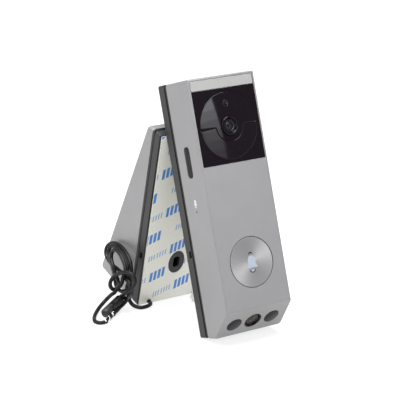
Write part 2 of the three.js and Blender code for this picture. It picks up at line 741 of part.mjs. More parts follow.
function cordBundle() {
  const long = distance(knot.from, knot.to);
  const roll = new THREE.CylinderGeometry(knot.radius, knot.radius, long, 20);
  roll.rotateX(Math.PI / 2).translate(0, 0, long / 2);
  const whole = join(
    loopPlate(lowerLoop, level),
    loopPlate(upperLoop, upward),
    placed(solid(roll), loopAxes(knot.from, knot.to, level)),
  );
  const room = plug.capRadius + GAP;
  const beyond = distance(plug.from, plug.to) + 20;
  return whole.subtract(onPlug(rod(room, -GAP, beyond, 0, 0, 24)));
}

// The plug's axis is +Y here, from the cord's end to its cap.
function onPlug(shape) {
  const axes = loopAxes(plug.from, plug.to, level).multiply(new THREE.Matrix4().makeRotationX(Math.PI / 2));
  return placed(shape, axes);
}

function plugBody() {
  const { radius, relief, body } = plug;
  const thin = cable.diameter / 2 + 0.3;
  return onPlug(turned([
    [0, 0], [thin, 0], [thin + 0.3, relief], [radius - 0.3, relief], [radius, relief + 0.4],
    [radius, relief + body - 0.4], [radius - 0.3, relief + body], [0, relief + body],
  ], 0, 0, 20));
}

function plugTip() {
  const start = plug.relief + plug.body + GAP;
  return onPlug(rod(plug.tip, start, distance(plug.from, plug.to) - 1.6, 0, 0, 16));
}

function plugCap() {
  const start = plug.relief + plug.body + GAP;
  const end = distance(plug.from, plug.to);
  const inner = plug.tip + GAP;
  const r = plug.capRadius;
  return onPlug(turned([
    [inner, start], [r, start], [r, end - 0.5], [r - 0.5, end], [0, end], [0, end - 0.9],
    [inner, end - 0.9], [inner, start],
  ], 0, 0, 20));
}

function makeCord() {
  const cord = new THREE.Group();
  cord.add(
    piece("charging_cord", chargingCord(), "rubber"),
    piece("cord_bundle", cordBundle(), "rubber"),
    piece("plug_body", plugBody(), "rubber"),
    piece("plug_tip", plugTip(), "steel"),
    piece("plug_cap", plugCap(), "dark"),
  );
  return cord;
}

// ---------------------------------------------------------------- the set

const units = new THREE.Group();
units.add(makeDoorbell(), makeChargingUnit());
const middle = new THREE.Box3().setFromObject(units, true).getCenter(new THREE.Vector3());

const set = new THREE.Group();
set.add(units, makeCord());
set.position.set(-middle.x, -middle.y, 0);

export default set;
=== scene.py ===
"""Video doorbell leaning on its solar charging unit: the looks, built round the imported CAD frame."""
import json
import math

import bmesh
import bpy
import numpy as np
from mathutils import Matrix, Vector


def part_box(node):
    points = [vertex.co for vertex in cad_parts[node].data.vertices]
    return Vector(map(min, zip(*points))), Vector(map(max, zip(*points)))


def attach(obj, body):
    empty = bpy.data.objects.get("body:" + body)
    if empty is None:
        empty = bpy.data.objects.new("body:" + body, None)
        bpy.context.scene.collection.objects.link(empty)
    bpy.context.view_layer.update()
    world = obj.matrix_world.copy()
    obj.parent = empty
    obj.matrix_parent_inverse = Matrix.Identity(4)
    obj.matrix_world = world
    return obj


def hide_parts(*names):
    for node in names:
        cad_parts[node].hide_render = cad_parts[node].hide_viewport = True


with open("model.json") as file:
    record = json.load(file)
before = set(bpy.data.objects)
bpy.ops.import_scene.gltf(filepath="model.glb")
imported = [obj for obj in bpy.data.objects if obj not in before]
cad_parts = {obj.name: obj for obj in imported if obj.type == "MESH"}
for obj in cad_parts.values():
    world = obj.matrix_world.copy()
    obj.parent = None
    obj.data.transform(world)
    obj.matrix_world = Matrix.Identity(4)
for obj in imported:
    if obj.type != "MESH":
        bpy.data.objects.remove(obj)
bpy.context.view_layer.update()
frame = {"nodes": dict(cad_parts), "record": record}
NODES = frame["nodes"]
RECORD = frame["record"]

MM = 0.001

# ---------------------------------------------------------------- the two units' own frames
# Each unit's frame has x across, y away from the doorbell's front and z up the unit; sizes in millimetres.

BELL_LEAN = math.radians(17.6)
BELL = {"half": 26, "depth": 35.6, "height": 170, "foot_top": 16.8, "foot_depth": 16.7, "tray_back": 1.5}
UNIT_LEAN = math.radians(14.7)
UNIT = {"height": 135.7, "base": 8.2}

tray_low, tray_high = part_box("wall_plate")
bell_foot = Vector((
    (tray_low.x + tray_high.x) / 2,
    tray_high.y - (BELL["tray_back"] * math.cos(BELL_LEAN) + BELL["height"] * math.sin(BELL_LEAN)) * MM,
    0,
))
BELL_FRAME = Matrix.Translation(bell_foot) @ Matrix.Rotation(-BELL_LEAN, 4, "X")

shell_low, shell_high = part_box("wedge_shell")
unit_foot = Vector((
    (shell_low.x + shell_high.x) / 2,
    shell_low.y + UNIT["height"] * math.sin(UNIT_LEAN) * MM,
    UNIT["base"] * math.sin(UNIT_LEAN) * MM,
))
UNIT_FRAME = Matrix.Translation(unit_foot) @ Matrix.Rotation(UNIT_LEAN, 4, "X")

OUTWARD = Matrix.Rotation(math.radians(90), 4, "X")  # local z looks out of the front, local y up it


def on_front(z, y=-BELL["depth"]):
    """A frame on the middle line of the doorbell's front, `z` millimetres up it."""
    return BELL_FRAME @ Matrix.Translation(Vector((0, y, z)) * MM) @ OUTWARD


def on_foot(x, down=14):
    """A frame on the slanted foot, `down` millimetres below its upper edge."""
    run = BELL["depth"] - BELL["foot_depth"]
    slant = math.hypot(run, BELL["foot_top"])
    turn = math.atan2(run, BELL["foot_top"])
    y = -BELL["depth"] + run * down / slant
    z = BELL["foot_top"] * (1 - down / slant)
    place = Matrix.Translation(Vector((x, y, z)) * MM) @ Matrix.Rotation(turn, 4, "X")
    return BELL_FRAME @ place @ OUTWARD


# ---------------------------------------------------------------- camera

AIM = bell_foot + Vector((-12.19, 23.38, 88.25)) * MM
AZIMUTH, ELEVATION, ROLL = (math.radians(a) for a in (-32.70, 17.09, -0.19))
DISTANCE = 1.0791
FOCAL, SENSOR = 146.2, 36  # millimetres

camera_data = bpy.data.cameras.new("camera")
camera_data.lens = FOCAL
camera_data.sensor_width = SENSOR
camera_data.clip_start = 0.05
camera = bpy.data.objects.new("camera", camera_data)
back = Vector((
    math.sin(AZIMUTH) * math.cos(ELEVATION),
    -math.cos(AZIMUTH) * math.cos(ELEVATION),
    math.sin(ELEVATION),
))
camera.location = AIM + back * DISTANCE
level_view = back.to_track_quat("Z", "Y").to_matrix()
camera.rotation_euler = (level_view @ Matrix.Rotation(ROLL, 3, "Z")).to_euler()
bpy.context.scene.collection.objects.link(camera)
bpy.context.scene.camera = camera
bpy.context.scene.view_settings.view_transform = "Standard"

# ---------------------------------------------------------------- charging cord
# Points in millimetres from the middle of the doorbell's lower back edge; the cord's length is in metres.

CORD = {
    "diameter": 2.8,
    "length": 0.480,
    "bend": 6,  # the radius that bends ease towards
    "apart": 2.95,  # between the middles of two strands that touch
    "in_tray": 22.5,  # the first part, which stays as laid
    "beside_unit": -33,  # the rest keeps to this side of the charging unit
}
LEAD = [
    (-21.1, 78.6, 1.5), (-21.1, 75.4, 1.45), (-22.3, 72.1, 1.45), (-25.2, 69.8, 1.45),
    (-28.8, 68.8, 1.45), (-32.2, 69.5, 1.45), (-34.9, 72.3, 2.2), (-36.8, 75.6, 4.7),
]
OUTER_LOOP = [
    (-39, 76, 15.5), (-38, 72.5, 23), (-37, 73, 30), (-36, 77.5, 35.5), (-35, 86, 39.5),
    (-34.5, 96, 41), (-35, 105, 39), (-36.5, 109, 34), (-37.5, 106.5, 29.5), (-38.5, 98.5, 26.5),
    (-39.5, 86, 25.5), (-41, 74, 25.5), (-42.5, 66, 22.5), (-44.5, 63.5, 18),
]
LOWER_LOOP = [
    (-43, 66.5, 13.5), (-40.5, 72.5, 9.5), (-41, 75, 5.5), (-45, 74.5, 3.5), (-50.5, 70, 3),
    (-58.5, 64.5, 2), (-67.5, 58.5, 1.5), (-71.5, 61, 1.5), (-69, 69.5, 1.5), (-61, 78.5, 3),
    (-52, 84, 6), (-49, 78, 13), (-46, 72.5, 20),
]
MIDDLE_LOOP = [
    (-42, 72.5, 25.5), (-39.5, 74, 31), (-38.5, 80, 36), (-37.5, 88, 39.5), (-37.5, 96, 40),
    (-38.5, 100.5, 38), (-39.5, 100, 34), (-40.5, 96.5, 30.5), (-41.5, 90.5, 26), (-42, 87.5, 20),
    (-42.5, 84.5, 14.5), (-42.5, 77.5, 13), (-42, 71, 16.5), (-40.5, 70, 22),
]
INNER_LOOP = [
    (-42.5, 70.5, 28.5), (-41.5, 74.5, 34), (-40.5, 81.5, 38.5), (-40.5, 88, 40), (-41, 92.5, 38),
    (-42, 92, 33.5), (-43.5, 87, 29), (-43.5, 84, 24), (-42.5, 82, 19),
]
KNOT = [
    (-45, 78.5, 15), (-48.5, 78.5, 14.5), (-50.5, 79.5, 18), (-49.5, 79, 22.5), (-48, 75, 27),
    (-46.5, 67, 31), (-44.5, 60.5, 31.5), (-43, 57.5, 28.5), (-43.5, 58.5, 23.5), (-44.6, 63.5, 18.2),
    (-45, 70.5, 13.5), (-41.5, 77.4, 9.8),
]
ROUTE = LEAD + OUTER_LOOP + LOWER_LOOP + MIDDLE_LOOP + INNER_LOOP + KNOT
PLUG = {"from": (-40.4, 78.2, 9.2), "to": (-62.3, 67.4, 3.5), "relief": 4.4, "body": 13.4, "width": 5.9}

# how settled() eases the laid route: shares of the way it moves a point in one pass
SETTLE = {"to_laid": 0.02, "unbend": 0.45, "push_apart": 0.25}
REACHES = (1, 2, 4, 6)  # how many points away the ends of a measured bend are
SAME_STRAND = 3 * CORD["diameter"]  # points nearer than this along the cord may be near each other
OFF_GROUND = 0.02
NOT_ZERO = 1e-9


def from_foot(point):
    """Where a point counted from the middle of the doorbell's lower back edge is in the shared frame."""
    return bell_foot + Vector(point) * MM


def smooth_line(points, per_span=8):
    """Points along a rounded line through the given ones."""
    ends = [points[0] * 2 - points[1], *points, points[-1] * 2 - points[-2]]
    line = []
    for a, b, c, d in zip(ends, ends[1:], ends[2:], ends[3:]):
        for i in range(per_span):
            t = i / per_span
            line.append(0.5 * (
                2 * b + (c - a) * t + (2 * a - 5 * b + 4 * c - d) * t ** 2
                + (3 * b - a - 3 * c + d) * t ** 3
            ))
    return line + [points[-1]]


def settled(points, spacing=1.6, passes=400):
    """The laid route as a cord takes it: bends eased, strands a diameter apart, nothing below the ground.

    The first part, up to the tray's edge, and the end at the plug stay where they were laid.
    """
    laid = np.array(smooth_line([Vector(p) for p in points]))
    steps = np.linalg.norm(np.diff(laid, axis=0), axis=1)
    travel = np.concatenate(([0], np.cumsum(steps)))
    stops = np.linspace(0, travel[-1], round(travel[-1] / spacing) + 1)
    aim = np.stack([np.interp(stops, travel, laid[:, axis]) for axis in range(3)], axis=1)
    held = round(CORD["in_tray"] / spacing)
    order = np.arange(len(aim))
    other_strand = np.abs(order[:, None] - order) * spacing > SAME_STRAND
    line = aim.copy()
    for _ in range(passes):
        line += SETTLE["to_laid"] * (aim - line)
        for reach in REACHES:
            off = line[reach:-reach] - (line[:-2 * reach] + line[2 * reach:]) / 2
            size = np.maximum(np.linalg.norm(off, axis=1, keepdims=True), NOT_ZERO)
            allowed = (reach * spacing) ** 2 / (2 * CORD["bend"])
            excess = SETTLE["unbend"] * off * np.clip(1 - allowed / size, 0, 1)
            line[reach:-reach] -= excess
            line[:-2 * reach] += excess / 2
            line[2 * reach:] += excess / 2
        gap = line[:, None] - line
        near = np.linalg.norm(gap, axis=2) + NOT_ZERO
        push = np.where(other_strand, np.clip(CORD["apart"] - near, 0, None), 0) / near
        line += SETTLE["push_apart"] * (gap * push[..., None]).sum(axis=1)
        line[:, 2] = np.maximum(line[:, 2], CORD["diameter"] / 2 + OFF_GROUND)
        line[held:, 0] = np.minimum(line[held:, 0], CORD["beside_unit"])
        line[:held] = aim[:held]
        line[-1] = aim[-1]
    return line


def round_curve(name, line, diameter, sides=5):
    """A round cord along a line of points in metres."""
    data = bpy.data.curves.new(name, "CURVE")
    data.dimensions = "3D"
    data.bevel_depth = diameter / 2
    data.bevel_resolution = sides
    data.use_fill_caps = True
    spline = data.splines.new("POLY")
    spline.points.add(len(line) - 1)
    for spot, at in zip(spline.points, line):
        spot.co = (*at, 1)
    spline.use_smooth = True
    curve = bpy.data.objects.new(name, data)
    bpy.context.scene.collection.objects.link(curve)
    return curve


cord_line = [from_foot(p) for p in settled(ROUTE)]
cord = round_curve("cord_jacket", cord_line, CORD["diameter"] * MM)

# ---------------------------------------------------------------- mesh helpers

WELD = 1e-6  # vertices this near are one, in metres
FLAT = math.radians(0.5)  # faces that meet at less than this are one


def new_object(name, bm, place=Matrix.Identity(4), sharp=35):
    """A mesh object from bmesh coordinates in `place`, smooth where its faces meet at a low angle."""
    bmesh.ops.recalc_face_normals(bm, faces=bm.faces)
    mesh = bpy.data.meshes.new(name)
    bm.to_mesh(mesh)
    bm.free()
    mesh.polygons.foreach_set("use_smooth", [True] * len(mesh.polygons))
    mesh.set_sharp_from_angle(angle=math.radians(sharp))
    made = bpy.data.objects.new(name, mesh)
    made.matrix_world = place
    bpy.context.scene.collection.objects.link(made)
    return made


def refined(node, place=Matrix.Identity(4), bevel=0.0, sharp=35):
    """A copy of a CAD node with merged flat faces, smooth rounded parts and fine broken edges."""
    source = NODES[node].data
    inverse = place.inverted()
    bm = bmesh.new()
    spots = [bm.verts.new(inverse @ v.co) for v in source.vertices]
    for polygon in source.polygons:
        try:
            bm.faces.new([spots[i] for i in polygon.vertices])
        except ValueError:  # the same face twice
            continue
    bmesh.ops.remove_doubles(bm, verts=bm.verts, dist=WELD)
    bmesh.ops.dissolve_limit(bm, angle_limit=FLAT, verts=bm.verts, edges=bm.edges)
    made = new_object(node + "_finish", bm, place, sharp)
    if bevel:
        edges = made.modifiers.new("edges", "BEVEL")
        edges.width = bevel * MM
        edges.segments = 2
        edges.limit_method = "ANGLE"
        edges.angle_limit = math.radians(sharp)
        made.modifiers.new("shading", "WEIGHTED_NORMAL").keep_sharp = True
    stand_for(made, node)
    return made


def stand_for(made, node, *others):
    """The piece replaces CAD nodes: it rides on their body and takes their slot."""
    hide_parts(node, *others)
    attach(made, BODY_OF[node])
    made.data.materials.clear()
    made.data.materials.append(MATERIALS[SLOT_OF[node]])
    return made


def add_to(made, node, slot, material=None):
    """A detail that the CAD leaves out: it rides with a CAD node's body."""
    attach(made, BODY_OF[node])
    made.data.materials.clear()
    made.data.materials.append(material or MATERIALS[slot])
    return made


def turned(name, profile, place, segments=96, sharp=30):
    """A turned body about local z: profile points are (radius, height) in millimetres."""
    bm = bmesh.new()
    rings = []
    for radius, height in profile:
        if radius == 0:
            rings.append([bm.verts.new((0, 0, height * MM))])
            continue
        ring = []
        for i in range(segments):
            angle = 2 * math.pi * i / segments
            x, y = radius * math.cos(angle), radius * math.sin(angle)
            ring.append(bm.verts.new((x * MM, y * MM, height * MM)))
        rings.append(ring)
    for low, high in zip(rings, rings[1:]):
        for i in range(segments):
            j = (i + 1) % segments
            corners = [low[i % len(low)], low[j % len(low)], high[j % len(high)], high[i % len(high)]]
            unique = list(dict.fromkeys(corners))
            if len(unique) > 2:
                bm.faces.new(unique)
    return new_object(name, bm, place, sharp)


def flat_shape(name, outlines, thick, place):
    """Thin raised print: closed outlines in local x, y (millimetres), `thick` high."""
    bm = bmesh.new()
    for outline in outlines:
        face = bm.faces.new([bm.verts.new((x * MM, y * MM, 0)) for x, y in outline])
        top = bmesh.ops.extrude_face_region(bm, geom=[face])
        spots = [v for v in top["geom"] if isinstance(v, bmesh.types.BMVert)]
        bmesh.ops.translate(bm, verts=spots, vec=(0, 0, thick * MM))
    return new_object(name, bm, place, sharp=30)


def arc(x, y, radius, start, end, steps=12):
    """Points on a circular arc; degrees."""
    turn = [math.radians(start + (end - start) * i / steps) for i in range(steps + 1)]
    return [(x + radius * math.cos(a), y + radius * math.sin(a)) for a in turn]


BODY_OF = {node: body for body, members in RECORD["behaviour"]["bodies"].items() for node in members}
SLOT_OF = {s["node"]: s["material_slot"] for s in RECORD["subparts"]}

# ---------------------------------------------------------------- materials

MIX_FIRST, MIX_SECOND, MIX_RESULT = 6, 7, 2  # the colour sockets of Blender's mix node
NOISE_LOW, NOISE_HIGH = 0.3, 0.7  # most values of a noise lie between these


class Finish:
    """A principled material with its nodes close at hand. Sizes of texture features are in millimetres."""

    def __init__(self, name, color, roughness, metallic=0.0, **more):
        self.material = bpy.data.materials.new(name)
        self.material.use_nodes = True
        self.nodes = self.material.node_tree.nodes
        self.links = self.material.node_tree.links
        self.shader = self.nodes["Principled BSDF"]
        self.color = color
        self.set("Base Color", (*color, 1))
        self.set("Roughness", roughness)
        self.set("Metallic", metallic)
        for socket, value in more.items():
            self.set(socket.replace("_", " "), value)
        self.spot = self.nodes.new("ShaderNodeTexCoord").outputs["Object"]

    def set(self, socket, value):
        """Sets a shader input, found by its name in any case."""
        names = {s.name.lower(): s for s in self.shader.inputs}
        names[socket.lower()].default_value = value

    def noise(self, size, detail=3.0, stretch=(1, 1, 1)):
        """Noise with features of about `size` millimetres."""
        place = self.nodes.new("ShaderNodeMapping")
        place.inputs["Scale"].default_value = stretch
        self.links.new(self.spot, place.inputs["Vector"])
        noise = self.nodes.new("ShaderNodeTexNoise")
        noise.inputs["Scale"].default_value = 1 / (size * MM)
        noise.inputs["Detail"].default_value = detail
        self.links.new(place.outputs["Vector"], noise.inputs["Vector"])
        return noise.outputs["Fac"]

    def math(self, operation, a, b=None):
        """One step of arithmetic on sockets or numbers."""
        node = self.nodes.new("ShaderNodeMath")
        node.operation = operation
        for socket, value in zip(node.inputs, (a, b)):
            if value is None:
                continue
            if isinstance(value, (int, float)):
                socket.default_value = value
            else:
                self.links.new(value, socket)
        return node.outputs[0]

    def ramp(self, source, stops):
        """A colour for each value of `source`: stops are (value, colour)."""
        node = self.nodes.new("ShaderNodeValToRGB")
        elements = node.color_ramp.elements
        while len(elements) < len(stops):
            elements.new(0.5)
        for element, (at, color) in zip(elements, stops):
            element.position = at
            element.color = (*color, 1)
        self.links.new(source, node.inputs["Fac"])
        return node.outputs["Color"]

    def mix(self, factor, first, second):
        """The first colour where `factor` is 0, the second where it is 1."""
        node = self.nodes.new("ShaderNodeMix")
        node.data_type = "RGBA"
        self.links.new(factor, node.inputs["Factor"])
        for socket, value in ((node.inputs[MIX_FIRST], first), (node.inputs[MIX_SECOND], second)):
            if isinstance(value, tuple):
                socket.default_value = (*value, 1)
            else:
                self.links.new(value, socket)
        return node.outputs[MIX_RESULT]

    def mottle(self, source, amount):
        """Lightens and darkens the base colour by `amount`."""
        low, high = (tuple(c * f for c in self.color) for f in (1 - amount, 1 + amount))
        self.paint(self.ramp(source, [(NOISE_LOW, low), (NOISE_HIGH, high)]))

    def paint(self, color):
        """Takes the base colour from a socket."""
        self.links.new(color, self.shader.inputs["Base Color"])

    def gloss(self, source, low, high):
        """Lets the roughness vary from `low` to `high`."""
        node = self.nodes.new("ShaderNodeMapRange")
        node.inputs["To Min"].default_value = low
        node.inputs["To Max"].default_value = high
        self.links.new(source, node.inputs["Value"])
        self.links.new(node.outputs["Result"], self.shader.inputs["Roughness"])

    def bump(self, source, depth, strength=1.0):
        """Fine relief, `depth` millimetres deep."""
        node = self.nodes.new("ShaderNodeBump")
        node.inputs["Distance"].default_value = depth * MM
        node.inputs["Strength"].default_value = strength
        self.links.new(source, node.inputs["Height"])
        self.links.new(node.outputs["Normal"], self.shader.inputs["Normal"])

    def axes(self):
        """The object's own x, y and z as separate sockets."""
        split = self.nodes.new("ShaderNodeSeparateXYZ")
        self.links.new(self.spot, split.inputs[0])
        return split.outputs

    def radius(self):
        """The distance from the object's own z axis."""
        squares = [self.math("MULTIPLY", side, side) for side in self.axes()[:2]]
        return self.math("SQRT", self.math("ADD", *squares))


def silver_paint(name, color, roughness):
    """Paint with fine metal flakes and faint broad clouds."""
    finish = Finish(name, color, roughness, metallic=0.45, specular_ior_level=0.5)
    flakes = finish.noise(size=0.35, detail=2)
    clouds = finish.noise(size=14, detail=2)
    fine = finish.math("MULTIPLY", flakes, 0.7)
    broad = finish.math("MULTIPLY", clouds, 0.3)
    finish.mottle(finish.math("ADD", fine, broad), amount=0.07)
    finish.gloss(flakes, roughness - 0.06, roughness + 0.06)
    finish.bump(flakes, depth=0.012, strength=0.6)
    return finish.material


def moulded_plastic(name, color, roughness, grain=0.3, depth=0.02):
    """Plastic with the fine grain of its mould."""
    finish = Finish(name, color, roughness)
    texture = finish.noise(grain, detail=4)
    finish.mottle(texture, amount=0.16)
    finish.gloss(texture, roughness - 0.08, roughness + 0.1)
    finish.bump(texture, depth)
    return finish.material


def gloss_black():
    """The front panel's polished plastic."""
    finish = Finish("gloss_black", (0.0055, 0.0035, 0.0055), roughness=0.04, specular_ior_level=0.15)
    dust = finish.noise(size=5, detail=2)
    finish.gloss(dust, low=0.03, high=0.06)
    finish.mottle(dust, amount=0.1)
    return finish.material


def smoked_lens():
    """The two halves of the dome, nearly black."""
    finish = Finish("smoked_lens", (0.006, 0.004, 0.006), roughness=0.07, specular_ior_level=0.16)
    haze = finish.noise(size=3, detail=2)
    finish.gloss(haze, low=0.05, high=0.09)
    finish.mottle(haze, amount=0.12)
    return finish.material


def lens_glass():
    """Coated glass whose colour turns a little violet where it is seen edge-on: a painted reflection of its
    coating.
    """
    finish = Finish("lens_glass", (0.008, 0.008, 0.01), roughness=0.14, specular_ior_level=0.22)
    edge = finish.nodes.new("ShaderNodeLayerWeight")
    edge.inputs["Blend"].default_value = 0.35
    # painted reflection: the violet rim colour follows the viewing angle, standing in for the coating's sheen
    middle, rim = (0.006, 0.006, 0.008), (0.02, 0.018, 0.028)
    finish.paint(finish.ramp(edge.outputs["Facing"], [(0.0, middle), (0.8, rim)]))
    return finish.material


def spun_metal():
    """Fine turning marks: circles round the button's own z axis."""
    finish = Finish("spun_metal", (0.365, 0.36, 0.365), roughness=0.4, metallic=1.0, anisotropic=0.62)
    circles = finish.nodes.new("ShaderNodeTexNoise")
    circles.noise_dimensions = "1D"
    circles.inputs["Scale"].default_value = 6000  # marks to a metre
    circles.inputs["Detail"].default_value = 4
    finish.links.new(finish.radius(), circles.inputs["W"])
    marks = circles.outputs["Fac"]
    finish.mottle(marks, amount=0.12)
    finish.gloss(marks, low=0.34, high=0.46)
    finish.bump(marks, depth=0.004)
    around = finish.nodes.new("ShaderNodeTangent")
    around.direction_type = "RADIAL"
    around.axis = "Z"
    finish.links.new(around.outputs["Tangent"], finish.shader.inputs["Tangent"])
    return finish.material


def brushed_steel():
    """Steel with fine lines along y."""
    finish = Finish("brushed_steel", (0.5, 0.5, 0.51), roughness=0.32, metallic=1.0)
    lines = finish.noise(size=0.5, detail=4, stretch=(1, 12, 1))
    finish.mottle(lines, amount=0.15)
    finish.gloss(lines, low=0.25, high=0.4)
    return finish.material


def soft_rubber(name, color, roughness):
    """Dull black rubber with a fine skin."""
    finish = Finish(name, color, roughness, specular_ior_level=0.2)
    skin = finish.noise(size=0.5, detail=3)
    finish.mottle(skin, amount=0.2)
    finish.gloss(skin, roughness - 0.06, roughness + 0.08)
    finish.bump(skin, depth=0.015)
    return finish.material


def circuit_board():
    """Green board with lighter tracks."""
    finish = Finish("circuit_board", (0.015, 0.11, 0.05), roughness=0.35)
    tracks = finish.noise(size=2.2, detail=1, stretch=(1, 0.3, 1))
    finish.paint(finish.ramp(tracks, [(0.5, (0.012, 0.09, 0.04)), (0.52, (0.03, 0.2, 0.08))]))
    return finish.material


def battery_wrap():
    """The battery's blue sleeve."""
    finish = Finish("battery_wrap", (0.05, 0.12, 0.32), roughness=0.3)
    finish.mottle(finish.noise(size=4, detail=2), amount=0.12)
    return finish.material


def solar_cover():
    """Clear cover over the cells, a little frosted."""
    finish = Finish("solar_cover", (0.9, 0.93, 1.0), roughness=0.05, transmission_weight=0.9, ior=1.45)
    finish.gloss(finish.noise(size=0.4, detail=2), low=0.04, high=0.12)
    return finish.material


def solar_cell():
    """Dark cells with fine silver fingers across and broader strips along, a pale gap between cells."""
    finish = Finish("solar_cell", (0.012, 0.018, 0.06), roughness=0.2, metallic=0.2)
    x, _, z = finish.axes()

    def stripes(along, pitch, width):
        place = finish.math("DIVIDE", along, pitch * MM)
        return finish.math("LESS_THAN", finish.math("FRACT", place), width / pitch)

    fingers = stripes(z, pitch=2.0, width=0.12)
    strips = stripes(x, pitch=11.5, width=0.9)
    gaps = stripes(z, pitch=19.0, width=0.8)
    dark, light = (0.008, 0.013, 0.05), (0.016, 0.026, 0.09)
    crystals = finish.ramp(finish.noise(size=6, detail=1), [(0.35, dark), (0.65, light)])
    silver = finish.mix(finish.math("MAXIMUM", fingers, strips), crystals, (0.35, 0.36, 0.4))
    finish.paint(finish.mix(gaps, silver, (0.7, 0.7, 0.72)))
    return finish.material


def foam_tape():
    """Off-white foam with open cells."""
    finish = Finish("foam_tape", (0.66, 0.66, 0.61), roughness=0.9)
    cells = finish.noise(size=0.4, detail=3)
    finish.mottle(cells, amount=0.1)
    finish.bump(cells, depth=0.05)
    return finish.material


# rows of print on the liner; degrees and millimetres
PRINT_ROWS = {
    "slope": 16.7,
    "pitch": 15.9,  # from row to row
    "period": 42,  # along a row, until it repeats
    "first": 10.9,  # the height of row 0
    "shift": 0.8,  # along, from each row to the next
    "odd": -18.4,  # along, for every other row
    "bold_at": 3.6,
    "slant": -0.34,
}
# groups of strokes: middle along the row, count, step, width, height
BOLD_STROKES = (6.5, 4, 3.3, 2.2, 7.2)
BOLD_LINKS = (7.9, 3, 3.3, 1.2, 2.2)
TICKS = ((27.4, 3, 2.0, 0.9, 4.0), (35.3, 4, 2.2, 0.9, 4.0))
BOLD_INK, TICK_INK = (0.05, 0.21, 0.56), (0.13, 0.30, 0.58)


def liner_paper():
    """Waxed paper printed with slanting rows: groups of bold strokes between runs of thin ticks."""
    finish = Finish("liner_paper", (0.72, 0.72, 0.65), roughness=0.42, specular_ior_level=0.5)
    slope = math.radians(PRINT_ROWS["slope"])
    pitch, period = PRINT_ROWS["pitch"], PRINT_ROWS["period"]
    x, _, z = (finish.math("DIVIDE", side, MM) for side in finish.axes())

    def turned_by(a, b, sign):
        second = finish.math("MULTIPLY", b, sign * math.sin(slope))
        return finish.math("ADD", finish.math("MULTIPLY", a, math.cos(slope)), second)

    along, across = turned_by(x, z, 1), turned_by(z, x, -1)
    row = finish.math("DIVIDE", finish.math("SUBTRACT", across, PRINT_ROWS["first"] - pitch / 2), pitch)
    number = finish.math("FLOOR", row)
    up = finish.math("MULTIPLY", finish.math("SUBTRACT", finish.math("FRACT", row), 0.5), pitch)
    odd = finish.math("MULTIPLY", finish.math("PINGPONG", number, 1), PRINT_ROWS["odd"])
    moved = finish.math("ADD", odd, finish.math("MULTIPLY", number, PRINT_ROWS["shift"]))
    slanted = finish.math("ADD", along, finish.math("MULTIPLY", up, PRINT_ROWS["slant"]))
    at = finish.math("SUBTRACT", finish.math("SUBTRACT", slanted, moved), PRINT_ROWS["bold_at"])
    at = finish.math("MULTIPLY", finish.math("FRACT", finish.math("DIVIDE", at, period)), period)

    def inside(value, low, high):
        above = finish.math("GREATER_THAN", value, low)
        return finish.math("MULTIPLY", above, finish.math("LESS_THAN", value, high))

    def strokes(middle, count, step, width, high):
        """`count` upright strokes round `middle` millimetres along the row."""
        start = middle - (count * step - (step - width)) / 2
        place = finish.math("DIVIDE", finish.math("SUBTRACT", at, start), step)
        inked = finish.math("LESS_THAN", finish.math("FRACT", place), width / step)
        run = inside(at, start, start + count * step)
        return finish.math("MULTIPLY", finish.math("MULTIPLY", inked, run), inside(up, -high / 2, high / 2))

    bold = finish.math("MAXIMUM", strokes(*BOLD_STROKES), strokes(*BOLD_LINKS))
    ticks = finish.math("MAXIMUM", *(strokes(*group) for group in TICKS))
    fibres = finish.noise(size=0.8, detail=4)
    dark, light = (0.71, 0.71, 0.645), (0.76, 0.765, 0.70)
    paper = finish.ramp(fibres, [(NOISE_LOW, dark), (NOISE_HIGH, light)])
    ticked = finish.mix(finish.math("MULTIPLY", ticks, 0.85), paper, TICK_INK)
    finish.paint(finish.mix(bold, ticked, BOLD_INK))
    finish.gloss(fibres, low=0.36, high=0.5)
    return finish.material


def icon_painted_glow():
    """The button's pictogram: a milky, unlit window with a faint painted glow."""
    # painted glow: a faint emission that makes the unlit window look lighter
    glow = (0.62, 0.72, 0.9, 1)
    finish = Finish(
        "icon_painted_glow", (0.285, 0.325, 0.385), roughness=0.45, emission_color=glow, emission_strength=0.03,
    )
    finish.mottle(finish.noise(size=2, detail=2), amount=0.05)
    return finish.material


def white_print():
    """Pale printed ink."""
    finish = Finish("white_print", (0.58, 0.61, 0.63), roughness=0.5)
    finish.mottle(finish.noise(size=0.4, detail=3), amount=0.06)
    return finish.material


def tie_film():
    """Creased shiny film."""
    finish = Finish("tie_film", (0.88, 0.85, 0.76), roughness=0.3, coat_weight=0.6)
    creases = finish.noise(size=1.1, detail=3)
    finish.mottle(creases, amount=0.2)
    finish.bump(creases, depth=0.15)
    return finish.material


MATERIALS = {
    "silver_paint": silver_paint("silver_paint", (0.256, 0.251, 0.257), 0.42),
    "band_paint": silver_paint("band_paint", (0.345, 0.341, 0.334), 0.45),
    "dark_plastic": moulded_plastic("dark_plastic", (0.0155, 0.0155, 0.0165), 0.52),
    "gloss_black": gloss_black(),
    "smoked_lens": smoked_lens(),
    "lens_glass": lens_glass(),
    "spun_metal": spun_metal(),
    "seal_rubber": soft_rubber("seal_rubber", (0.02, 0.02, 0.021), 0.6),
    "cord_rubber": soft_rubber("cord_rubber", (0.009, 0.009, 0.0095), 0.33),
    "screw_steel": brushed_steel(),
    "module_plastic": moulded_plastic("module_plastic", (0.006, 0.006, 0.007), 0.5),
    "circuit_board": circuit_board(),
    "battery_wrap": battery_wrap(),
    "solar_cover": solar_cover(),
    "solar_cell": solar_cell(),
    "foam": foam_tape(),
    "liner_paper": liner_paper(),
}
PRINT = white_print()
ICON = icon_painted_glow()
TIE = tie_film()
TAB = moulded_plastic("tab_paper", (0.78, 0.78, 0.76), 0.5, grain=0.8, depth=0.01)

for node, slot in SLOT_OF.items():
    NODES[node].data.materials.clear()
    NODES[node].data.materials.append(MATERIALS[slot])

# ---------------------------------------------------------------- cord, plug and tie

cord.data.materials.append(MATERIALS["cord_rubber"])
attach(cord, "charger_mount")
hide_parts("charging_cord", "cord_bundle")

